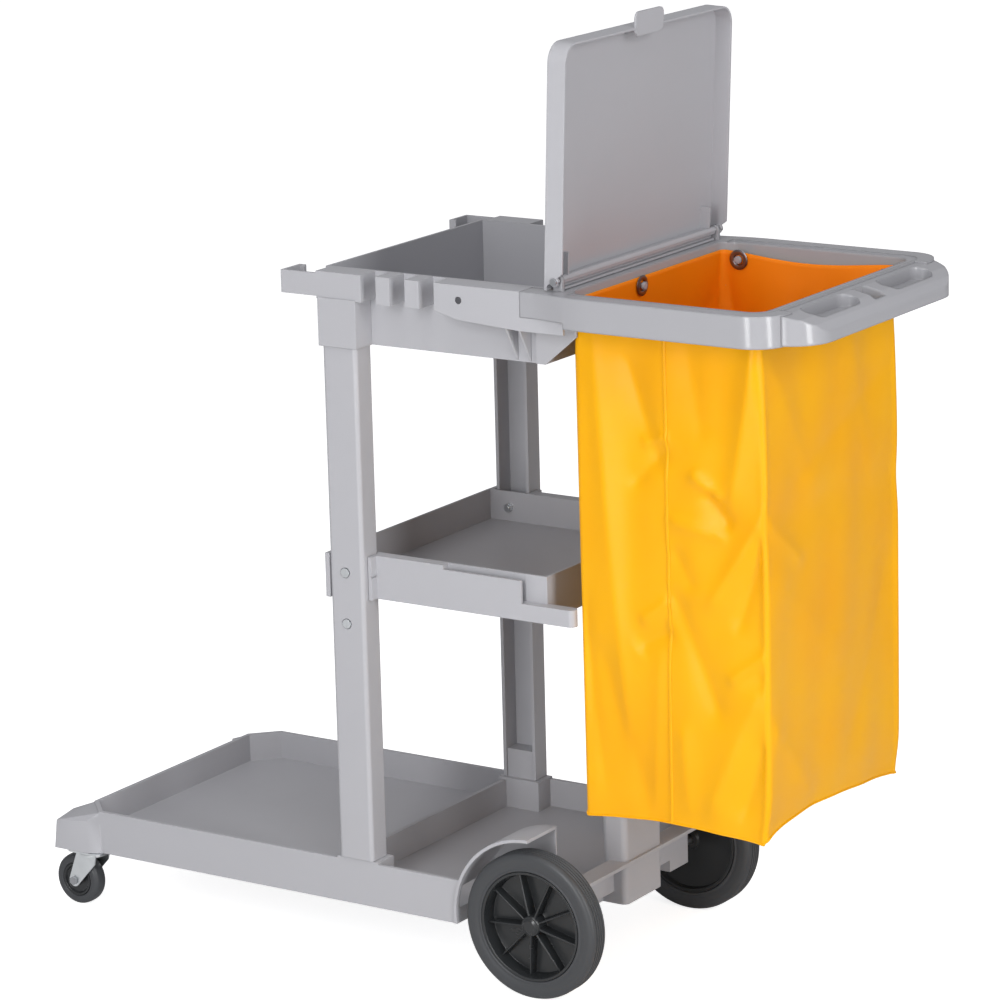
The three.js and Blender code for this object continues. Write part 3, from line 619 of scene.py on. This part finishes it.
def rounded_loop(half_x, half_y, radius, total):
    """Points round a rounded rectangle, counterclockwise from its -X -Y corner, with their outward
    directions; they stand closer at the corners."""
    straight = np.array([2 * half_x - 2 * radius, 2 * half_y - 2 * radius] * 2)
    arc = math.pi / 2 * radius
    s = crowded(straight + arc, total) - arc / 2
    s = np.where(s < 0, s + straight.sum() + 4 * arc, s)
    points = np.zeros((len(s), 2))
    normals = np.zeros((len(s), 2))
    start = 0.0
    corners = [(half_x, -half_y), (half_x, half_y), (-half_x, half_y), (-half_x, -half_y)]
    for k, (cx, cy) in enumerate(corners):
        outward = np.array([math.sin(k * math.pi / 2), -math.cos(k * math.pi / 2)])
        ahead = np.array([math.cos(k * math.pi / 2), math.sin(k * math.pi / 2)])
        centre = np.array([cx - math.copysign(radius, cx), cy - math.copysign(radius, cy)])
        on_side = (s >= start) & (s < start + straight[k])
        back = (start + straight[k] - s[on_side])[:, None]
        points[on_side] = centre + outward * radius - ahead * back
        normals[on_side] = outward
        start += straight[k]
        on_arc = (s >= start) & (s < start + arc)
        turn = (s[on_arc] - start) / radius
        bend = np.cos(turn)[:, None] * outward + np.sin(turn)[:, None] * ahead
        points[on_arc] = centre + radius * bend
        normals[on_arc] = bend
        start += arc
    return points, normals


def crease(across, up, start, end, width):
    """A soft ridge of height one along a line from start to end, in millimetres on the side: two
    slopes that meet in a round crest, exp(0.4 - sqrt((d / width)^2 + 0.16)) at a distance d, which
    fade at the line's ends."""
    ax, ay = start
    dx, dy = end[0] - ax, end[1] - ay
    length = math.hypot(dx, dy)
    t = ((across - ax) * dx + (up - ay) * dy) / length**2
    off = ((up - ay) * dx - (across - ax) * dy) / length
    fade = np.clip(np.minimum(t + 0.1, 1.1 - t) * 4, 0, 1)
    return np.exp(0.4 - np.sqrt((off / width) ** 2 + 0.16)) * fade * fade * (3 - 2 * fade)


# Each crease runs from start to end, as shares of the side's width and height, with its width and
# height in millimetres; a valley has a height below zero.
LONG_CREASES = [
    ((0.10, 0.96), (0.27, 0.12), 17, 5.0),
    ((0.00, 0.45), (0.12, 0.05), 12, -2.5),
    ((0.26, 0.92), (0.46, 0.70), 13, -4.5),
    ((0.36, 0.745), (0.50, 0.765), 6, 3.0),
    ((0.30, 0.66), (0.50, 0.745), 7, -2.5),
    ((0.34, 0.395), (0.50, 0.445), 7, 3.5),
    ((0.32, 0.345), (0.50, 0.385), 9, -4.0),
    ((0.10, 0.34), (0.36, 0.03), 20, -3.5),
    ((0.44, 0.34), (0.40, 0.02), 12, 3.0),
    ((0.62, 0.70), (0.78, 0.655), 6, 4.0),
    ((0.70, 0.665), (0.82, 0.60), 8, -5.0),
    ((0.50, 0.605), (0.80, 0.58), 8, 3.5),
    ((0.52, 0.55), (0.62, 0.47), 10, -2.5),
    ((0.98, 0.97), (0.82, 0.63), 15, 5.5),
    ((0.60, 0.98), (0.68, 0.76), 16, -3.0),
    ((1.00, 0.63), (0.70, 0.44), 10, 4.0),
    ((1.00, 0.60), (0.84, 0.40), 9, -3.5),
    ((0.80, 0.30), (1.00, 0.37), 6, 3.5),
    ((0.96, 0.30), (0.70, 0.03), 17, 5.0),
    ((0.52, 0.46), (0.76, 0.22), 15, -4.5),
    ((0.56, 0.20), (0.60, 0.02), 12, 2.5),
    ((0.99, 0.20), (0.86, 0.04), 9, -3.0),
]
END_CREASES = [
    ((0.02, 0.95), (0.36, 0.62), 26, 2.6),
    ((0.95, 0.82), (0.22, 0.66), 22, -2.2),
    ((0.00, 0.62), (0.26, 0.50), 10, 2.4),
    ((0.06, 0.50), (0.50, 0.28), 30, 2.4),
    ((0.95, 0.46), (0.60, 0.08), 30, -2.6),
    ((0.02, 0.22), (0.34, 0.02), 16, 2.6),
    ((0.60, 0.98), (0.80, 0.60), 24, 1.8),
]


def side_relief(across, up, size, creases, phase):
    """How far a side's cloth stands out, in millimetres: broad rolls that lean a little, and creases,
    all of it fading at the corners. across and up run from 0 to 1 over the side's size."""
    width, height = size
    rolls = 1.2 * np.sin(2 * math.pi * (1.7 * across + 0.3 * up) + phase)
    rolls += 0.5 * np.sin(2 * math.pi * (4.1 * across - 0.9 * up) + 2 * phase)
    relief = rolls - 1.5
    for start, end, breadth, rise in creases:
        line = [(a * width, b * height) for a, b in (start, end)]
        relief = relief + rise * crease(across * width, up * height, *line, breadth)
    edge = np.clip(np.minimum(across, 1 - across) / 0.05, 0, 1)
    return relief * edge * edge * (3 - 2 * edge)


def drawn_in(across_x, across_y, up):
    """How far the bag's plan is moved at a height, in metres: towards +X at the push handle's end,
    where it swells below the ring and is pinched at 0.6 of its height, back towards the lid at the
    other end, and in from its far corner."""
    swell = 12.5 * MM * (1 - np.exp(-6 * (1 - up))) - 6 * MM * np.exp(-((up / 0.05) ** 2))
    pinch = -2.5 * MM * np.exp(-(((up - 0.60) / 0.05) ** 2))
    back = 5 * MM * np.clip((1 - up) / 0.1, 0, 1) * up
    along = across_x**3 * (swell + pinch) - (1 - across_x) ** 3 * back
    narrow = 16 * MM * across_x**3 * across_y**2 * np.clip((1 - up) / 0.06, 0, 1)
    return along, narrow


def bag_surface(fold):
    """The bag's outer skin, from the bottom seam up to the hem: a rounded rectangle in plan that is
    narrower at the push handle's end near the top and at its far corner, with soft folds in its four
    sides, bottom edges that rise between the corners, and a sag in the hem between the pegs."""
    middle, half = middle_and_half("waste_bag")
    low, high = middle[2] - half[2], middle[2] + half[2]
    up = np.linspace(0, 1, BAG_ROWS)[:, None]
    plan, outward = rounded_loop(half[0], half[1], BAG_CORNER, BAG_COLUMNS)
    across_x = (plan[:, 0] / half[0] + 1) / 2
    across_y = (plan[:, 1] / half[1] + 1) / 2
    on_near, on_far = outward[:, 1] < -0.7, outward[:, 1] > 0.7
    on_right, on_left = outward[:, 0] > 0.7, outward[:, 0] < -0.7
    long_side = (2 * half[0] / MM, 2 * half[2] / MM)
    end_side = (2 * half[1] / MM, 2 * half[2] / MM)
    relief = 0
    for mask, across, size, creases, phase in (
        (on_near, across_x, long_side, LONG_CREASES, 0.4),
        (on_far, 1 - across_x, long_side, LONG_CREASES, 1.9),
        (on_right, across_y, end_side, END_CREASES, 1.1),
        (on_left, 1 - across_y, end_side, END_CREASES, 2.6),
    ):
        relief = relief + mask * side_relief(across, up, size, creases, phase)
    held = np.clip((1 - up) / 0.10, 0, 1)
    out = relief * fold * (0.15 + 0.85 * held)
    along, narrow = drawn_in(across_x, across_y, up)
    points = np.zeros((BAG_ROWS, len(plan), 3))
    points[..., 0] = middle[0] + plan[:, 0] + along + out * outward[:, 0]
    points[..., 1] = middle[1] + plan[:, 1] - narrow + out * outward[:, 1]
    arch_end = np.sin(math.pi * across_y**0.62) ** 0.8
    arch_side = np.sin(math.pi * across_x) ** 0.8
    bottom = low + 2 * MM + 20 * MM * on_right * arch_end + 14 * MM * on_left * arch_end
    bottom = bottom + 9 * MM * (on_near | on_far) * arch_side
    top = high - 9 * MM * (on_near | on_far) * np.sin(math.pi * across_x) ** 1.5
    points[..., 2] = bottom + (top - bottom) * up
    return points


def bag_floor(rim, rings=12):
    """The bag's bottom: rings that grow from its middle to the lowest row of the skin, hanging a
    little below the seam halfway in."""
    centre = rim.mean(0)
    grow = np.linspace(0, 1, rings)[:, None, None]
    points = centre + (rim - centre) * grow
    points[..., 2] -= 1.5 * MM * np.sin(math.pi * grow[..., 0])
    return points


def bead(path, radius, steps=8):
    """A round bead along a closed path of points: a circle across the path at every point."""
    ahead = np.roll(path, -1, axis=0) - np.roll(path, 1, axis=0)
    ahead /= np.linalg.norm(ahead, axis=1, keepdims=True)
    across = np.cross(ahead, (0, 0, 1.0))
    across /= np.linalg.norm(across, axis=1, keepdims=True)
    upward = np.cross(across, ahead)
    turn = np.linspace(0, 2 * math.pi, steps, endpoint=False)
    ring = np.cos(turn)[:, None, None] * across + np.sin(turn)[:, None, None] * upward
    return grid((path + radius * ring).transpose(1, 0, 2), loop_rows=True, loop_columns=True)


def welt(path, outward, width, rise):
    """A low round strip along an open path: an ellipse across it, of the given width and twice the
    rise, whose middle stands half the rise off the cloth."""
    across = np.cross((0, 0, 1.0), outward)
    turn = np.linspace(0, 2 * math.pi, 10, endpoint=False)
    ring = np.cos(turn)[:, None] * across * width / 2 + np.sin(turn)[:, None] * np.array(outward) * rise
    return loft(path[:, None] + ring + np.array(outward) * rise / 2)


class CART_OT_waste_bag(bpy.types.Operator):
    """Make the waste bag with its folds, hems and seams"""

    bl_idname = "cart.waste_bag"
    bl_label = "Waste Bag"

    def execute(self, context):
        settings = context.scene.cart_bag
        skin = bag_surface(settings.fold)
        middle, half = middle_and_half("waste_bag")
        girth = 4 * (half[0] + half[1])
        surfaces = [
            grid(skin, loop_columns=True, size=(girth, 2 * half[2])),
            grid(bag_floor(skin[0]), loop_columns=True, size=(girth, half[0])),
        ]
        materials = [finish("vinyl_outside"), finish("vinyl_inside")]
        bag = build("waste_bag_cloth", surfaces, materials, 60.0, closed=False)
        wall = bag.modifiers.new("Thickness", "SOLIDIFY")
        wall.thickness = settings.thickness
        wall.offset = -1.0
        wall.material_offset = 1
        place(bag, "frame", "yellow_vinyl", "waste_bag")
        surfaces = [bead(skin[0], 1.5 * MM)]
        for out in (-1, 1):
            row = skin[SEAM_ROW]
            elsewhere = row[:, 1] * out < half[1] * 0.9
            from_middle = np.where(elsewhere, np.inf, np.abs(row[:, 0] - middle[0]))
            surfaces.append(welt(skin[:, from_middle.argmin()], (0, out, 0), 5 * MM, 0.8 * MM))
        seams = build("waste_bag_seams", surfaces, [finish("vinyl_outside")])
        place(seams, "frame", "yellow_vinyl")
        return {"FINISHED"}


# ---------------------------------------------------------------- eyelets
# Each eyelet's name, and the way along its axis that its flange faces, into the bag.
EYELETS = {"left": 1, "right_near": -1, "right_far": -1, "near_left": 1, "far_left": -1}


class CART_OT_eyelets(bpy.types.Operator):
    """Make the pressed eyelets of the bag"""

    bl_idname = "cart.eyelets"
    bl_label = "Eyelets"

    def execute(self, context):
        for name, inwards in EYELETS.items():
            middle, half = middle_and_half(f"eyelet_{name}")
            axis = "x" if half[0] < half[1] else "y"
            depth = half["xyz".index(axis)] / MM
            outline = [(6.8, -depth), (8.6, -depth), (8.8, 0), (13.6, depth - 1.4), (14, depth - 0.6)]
            outline += [(11, depth), (7.6, depth - 0.3), (6.7, depth - 1.5)]
            ring = rounded(outline, 0.8, 3) * (1, inwards)
            skin = revolve(ring * MM, middle, axis, 48)
            piece = build(f"grommet_{name}", [skin], [finish("dark_eyelet")])
            place(piece, "frame", "zinc", f"eyelet_{name}")
        return {"FINISHED"}


# ---------------------------------------------------------------- frame
class CartMouldingSettings(bpy.types.PropertyGroup):
    """Colour of the grey mouldings."""

    colour: bpy.props.FloatVectorProperty(
        name="Colour", description="Grey plastic", subtype="COLOR", default=(0.43, 0.43, 0.455)
    )


class CART_OT_frame(bpy.types.Operator):
    """Finish the deck, posts, shelf, tray, ring, handle and lid"""

    bl_idname = "cart.frame"
    bl_label = "Frame Finish"

    def execute(self, context):
        for node in SATIN:
            dress(node, "satin_grey")
        for node in GLOSSY:
            dress(node, "glossy_shaded_grey")
        return {"FINISHED"}


class CART_OT_fasteners(bpy.types.Operator):
    """Finish the axle, bolts, nuts, pins, screws and caps"""

    bl_idname = "cart.fasteners"
    bl_label = "Fasteners"

    def execute(self, context):
        dress("rear_axle", "plain_steel")
        for side in SIDES:
            for node in ("bolt_lower", "bolt_shelf", "nut_lower", "nut_shelf"):
                dress(f"{node}_{side}", "bright_zinc")
            dress(f"lid_pin_{side}", "plain_steel")
            dress(f"arm_screw_{side}", "dark_eyelet")
            dress(f"wheel_cap_{side}", "satin_black")
        return {"FINISHED"}


# ---------------------------------------------------------------- stage
class CartStageSettings(bpy.types.PropertyGroup):
    """Camera and light."""

    azimuth: bpy.props.FloatProperty(
        name="Azimuth", description="Camera round the cart", default=math.radians(33.45), subtype="ANGLE"
    )
    elevation: bpy.props.FloatProperty(
        name="Elevation", description="Camera above the horizon", default=math.radians(14.03), subtype="ANGLE"
    )
    roll: bpy.props.FloatProperty(
        name="Roll", description="Camera about its own axis", default=math.radians(-1.45), subtype="ANGLE"
    )
    distance: bpy.props.FloatProperty(
        name="Distance", description="Camera to its aim", default=5.861, unit="LENGTH"
    )
    lens: bpy.props.FloatProperty(name="Lens", description="Focal length in millimetres", default=154.4)


AIM = Vector((0.0173, 0.0, 0.6183))
SENSOR_WIDTH = 36.0
FLOOR_HALF = 40


def add_camera(settings):
    """A camera that looks at AIM from an azimuth and elevation, then turned about its own axis."""
    a, e = settings.azimuth, settings.elevation
    back = Vector((math.sin(a) * math.cos(e), -math.cos(a) * math.cos(e), math.sin(e)))
    level = Vector((0, 0, 1)).cross(back).normalized()
    upright = back.cross(level)
    right = level * math.cos(settings.roll) + upright * math.sin(settings.roll)
    above = back.cross(right)
    data = bpy.data.cameras.new("Camera")
    data.lens = settings.lens
    data.sensor_width = SENSOR_WIDTH
    camera = bpy.data.objects.new("Camera", data)
    turned = Matrix((right, above, back)).transposed().to_4x4()
    camera.matrix_world = Matrix.Translation(AIM + back * settings.distance) @ turned
    bpy.context.scene.collection.objects.link(camera)
    bpy.context.scene.camera = camera


def add_light(name, azimuth, elevation, distance, size, power):
    """A rectangular soft light that faces the middle of the cart, from an azimuth and elevation in
    degrees."""
    a, e = math.radians(azimuth), math.radians(elevation)
    away = Vector((math.sin(a) * math.cos(e), -math.cos(a) * math.cos(e), math.sin(e)))
    data = bpy.data.lights.new(name, "AREA")
    data.shape = "RECTANGLE"
    data.size, data.size_y = size
    data.energy = power
    light = bpy.data.objects.new(name, data)
    position = AIM + away * distance
    facing = away.to_track_quat("Z", "Y").to_matrix().to_4x4()
    light.matrix_world = Matrix.Translation(position) @ facing
    bpy.context.scene.collection.objects.link(light)


def seen_white(tree, target):
    """Links a socket to white where the eye looks straight at it, and to its own dim value elsewhere."""
    path = tree.nodes.new("ShaderNodeLightPath")
    mix = tree.nodes.new("ShaderNodeMix")
    mix.data_type = "RGBA"
    mix.inputs["A"].default_value = target.default_value
    mix.inputs["B"].default_value = (1, 1, 1, 1)
    tree.links.new(path.outputs["Is Camera Ray"], mix.inputs["Factor"])
    tree.links.new(mix.outputs["Result"], target)


class CART_OT_stage(bpy.types.Operator):
    """Make the pale floor, the soft light and the camera"""

    bl_idname = "cart.stage"
    bl_label = "Stage"

    def execute(self, context):
        add_camera(context.scene.cart_stage)
        span = np.linspace(-FLOOR_HALF, FLOOR_HALF, 3)
        x, y = np.meshgrid(span, span)
        material, shader = finish_of(
            "pale_floor",
            Roughness=0.9,
            Base_Color=(0.8, 0.8, 0.8, 1),
            Specular_IOR_Level=0.1,
            Emission_Strength=0.8,
            Emission_Color=(0, 0, 0, 1),
        )
        seen_white(material.node_tree, shader.inputs["Emission Color"])
        floor = build("floor", [grid(np.stack([x, y, 0 * x], -1))], [material], closed=False)
        world = bpy.data.worlds.new("Studio")
        context.scene.world = world
        world.use_nodes = True
        sky = world.node_tree.nodes["Background"]
        sky.inputs["Color"].default_value = (0.33, 0.33, 0.34, 1)
        sky.inputs["Strength"].default_value = 1.0
        seen_white(world.node_tree, sky.inputs["Color"])
        add_light("Key light", 9, 15, 3.6, (0.9, 3.0), 72)
        add_light("Side light", 72, 15, 3.6, (0.8, 3.0), 65)
        add_light("Top light", 20, 75, 4.2, (2.0, 2.0), 44)
        context.scene.view_settings.view_transform = "Standard"
        return {"FINISHED"}


# ---------------------------------------------------------------- add-on
OPERATORS = (
    CART_OT_frame,
    CART_OT_fasteners,
    CART_OT_rear_wheels,
    CART_OT_casters,
    CART_OT_waste_bag,
    CART_OT_eyelets,
    CART_OT_stage,
)


class CART_PT_panel(bpy.types.Panel):
    """Lists the cart's pieces"""

    bl_idname = "CART_PT_panel"
    bl_label = "Housekeeping Cart"
    bl_space_type = "VIEW_3D"
    bl_region_type = "UI"
    bl_category = "Cart"

    def draw(self, context):
        for operator in OPERATORS:
            self.layout.operator(operator.bl_idname)
        for name in SETTINGS:
            settings = getattr(context.scene, name)
            for label in settings.__annotations__:
                self.layout.prop(settings, label)


SETTINGS = {
    "cart_moulding": CartMouldingSettings,
    "cart_wheels": CartWheelSettings,
    "cart_bag": CartBagSettings,
    "cart_stage": CartStageSettings,
}


def register():
    for settings in SETTINGS.values():
        bpy.utils.register_class(settings)
    for name, settings in SETTINGS.items():
        setattr(bpy.types.Scene, name, bpy.props.PointerProperty(type=settings))
    for operator in OPERATORS:
        bpy.utils.register_class(operator)
    bpy.utils.register_class(CART_PT_panel)


def unregister():
    bpy.utils.unregister_class(CART_PT_panel)
    for operator in reversed(OPERATORS):
        bpy.utils.unregister_class(operator)
    for name, settings in SETTINGS.items():
        delattr(bpy.types.Scene, name)
        bpy.utils.unregister_class(settings)


def main():
    register()
    bpy.ops.cart.frame()
    bpy.ops.cart.fasteners()
    bpy.ops.cart.rear_wheels()
    bpy.ops.cart.casters()
    bpy.ops.cart.waste_bag()
    bpy.ops.cart.eyelets()
    bpy.ops.cart.stage()


if __name__ == "__main__":
    main()
